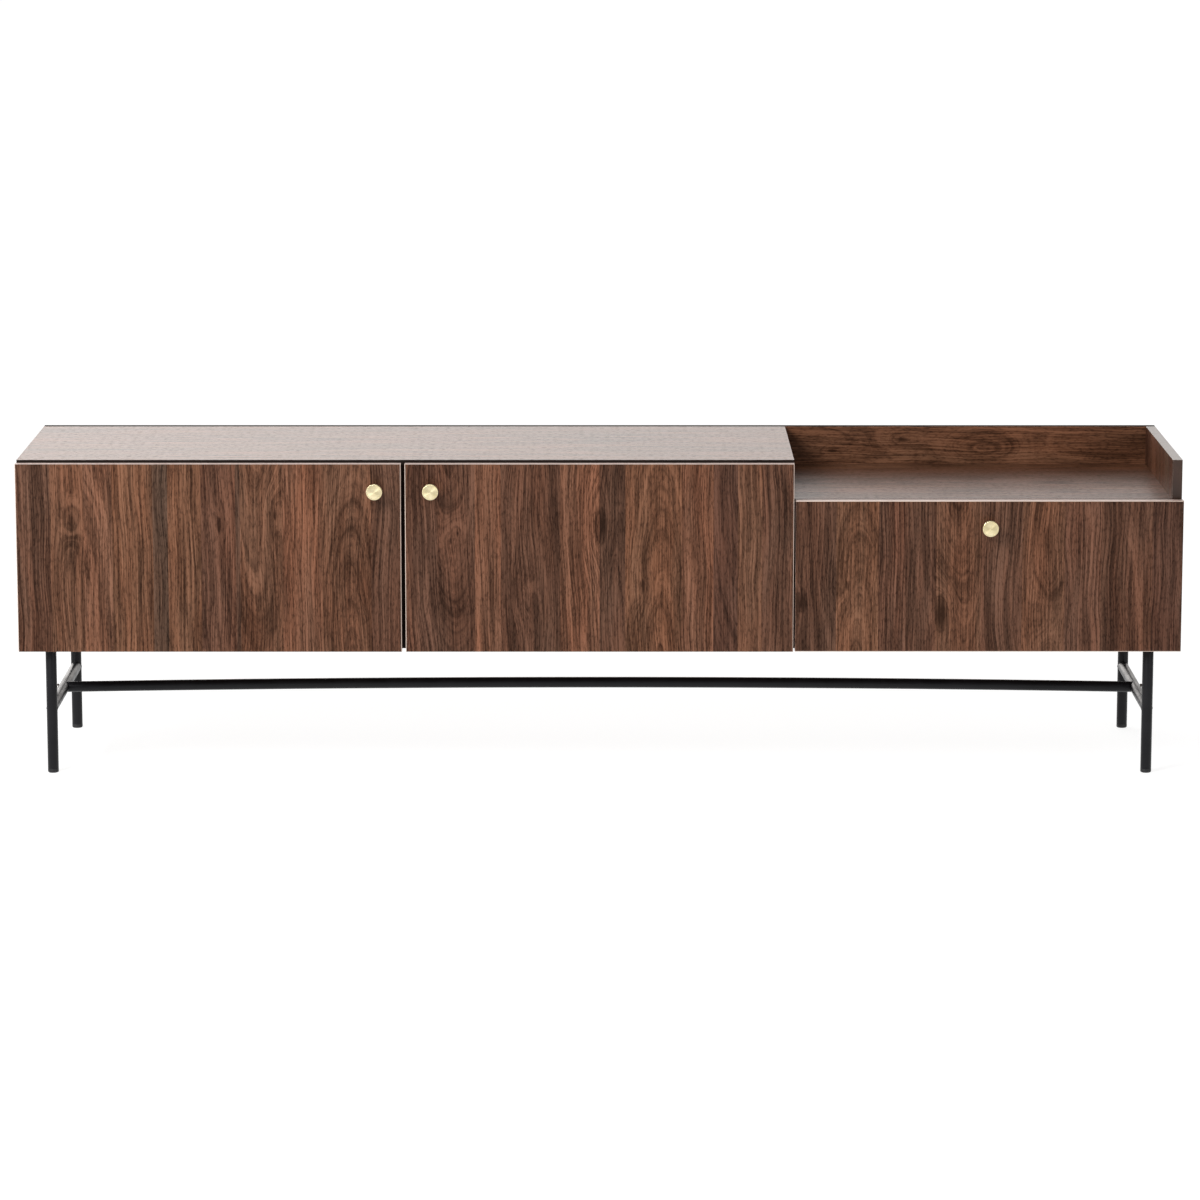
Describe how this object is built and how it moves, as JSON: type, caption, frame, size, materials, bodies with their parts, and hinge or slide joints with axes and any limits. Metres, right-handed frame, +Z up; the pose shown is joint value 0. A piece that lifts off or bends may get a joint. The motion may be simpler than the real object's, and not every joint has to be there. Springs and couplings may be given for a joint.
{
  "type": "tv stand with doors",
  "caption": "Low walnut cabinet on a black tube frame, with side-hung doors, a drop flap and an open tray above the flap.",
  "frame": {"origin": "on the floor, under the middle of the whole object's box", "axes": "+X along the front to the open tray's side, +Y from the doors to the back, +Z up"},
  "size_m": [1.8, 0.424, 0.494],
  "materials": {
    "walnut": "satin printed walnut veneer",
    "black_metal": "satin black powder coat",
    "brushed_brass": "brushed",
    "nickel_steel": "nickel plated",
    "black_plastic": "fine moulded texture",
    "beech": "turned beech",
    "clear_bumper": "soft"
  },
  "bodies": {
    "carcass": {"bottom_panel": "walnut", "side_panel_left": "walnut", "side_panel_right": "walnut", "divider_mid": "walnut", "divider_tray": "walnut", "top_panel": "walnut", "tray_panel": "walnut", "back_board": "walnut", "cable_grommets": "black_plastic", "cam_locks": "nickel_steel", "cam_bolts": "nickel_steel", "dowels": "beech", "back_screws": "nickel_steel", "leg_front_left": "black_metal", "leg_front_right": "black_metal", "leg_rear_left": "black_metal", "leg_rear_right": "black_metal", "mounting_rail_left": "black_metal", "mounting_rail_right": "black_metal", "rail_screws": "nickel_steel", "crossbar_left": "black_metal", "crossbar_right": "black_metal", "stretcher": "black_metal", "stretcher_inserts": "nickel_steel", "stretcher_bolts": "black_metal", "foot_glides": "black_plastic", "hinge_arms_left": "nickel_steel", "hinge_arms_middle": "nickel_steel", "hinge_arms_flap": "nickel_steel", "hinge_plates": "nickel_steel", "hinge_plate_screws": "nickel_steel", "hinge_arm_screws": "nickel_steel", "stay_studs": "nickel_steel", "catch_magnet": "black_plastic", "catch_screws": "nickel_steel"},
    "door_left": {"door_left": "walnut", "hinge_cups_left": "nickel_steel", "hinge_pins_left": "nickel_steel", "cup_screws_left": "nickel_steel", "knob_left": "brushed_brass", "knob_screw_left": "nickel_steel", "bumpers_left": "clear_bumper"},
    "door_middle": {"door_middle": "walnut", "hinge_cups_middle": "nickel_steel", "hinge_pins_middle": "nickel_steel", "cup_screws_middle": "nickel_steel", "knob_middle": "brushed_brass", "knob_screw_middle": "nickel_steel", "bumpers_middle": "clear_bumper"},
    "flap": {"flap_panel": "walnut", "hinge_cups_flap": "nickel_steel", "hinge_pins_flap": "nickel_steel", "cup_screws_flap": "nickel_steel", "knob_flap": "brushed_brass", "knob_screw_flap": "nickel_steel", "bumpers_flap": "clear_bumper", "catch_strike": "nickel_steel", "stay_brackets": "nickel_steel"},
    "flap_stays": {"stay_arm_left": "nickel_steel", "stay_arm_right": "nickel_steel"}
  },
  "joints": [
    {"name": "door_left_hinge", "type": "hinge", "parent": "carcass", "child": "door_left", "pos_m": [-0.892, -0.181, 0.343], "axis": [0, 0, -1], "range_deg": [0, 95]},
    {"name": "door_middle_hinge", "type": "hinge", "parent": "carcass", "child": "door_middle", "pos_m": [0.292, -0.181, 0.343], "axis": [0, 0, 1], "range_deg": [0, 90]},
    {"name": "flap_hinge", "type": "hinge", "parent": "carcass", "child": "flap", "pos_m": [0.60125, -0.181, 0.2045], "axis": [1, 0, 0], "range_deg": [0, 90]},
    {"name": "flap_stay_pivot", "type": "hinge", "parent": "flap", "child": "flap_stays", "pos_m": [0.592, -0.164, 0.3145], "axis": [1, 0, 0], "range_deg": [-45, 0]}
  ],
  "couplings": [
    {"joint": "flap_stay_pivot", "follows": "flap_hinge", "ratio": -0.5}
  ]
}
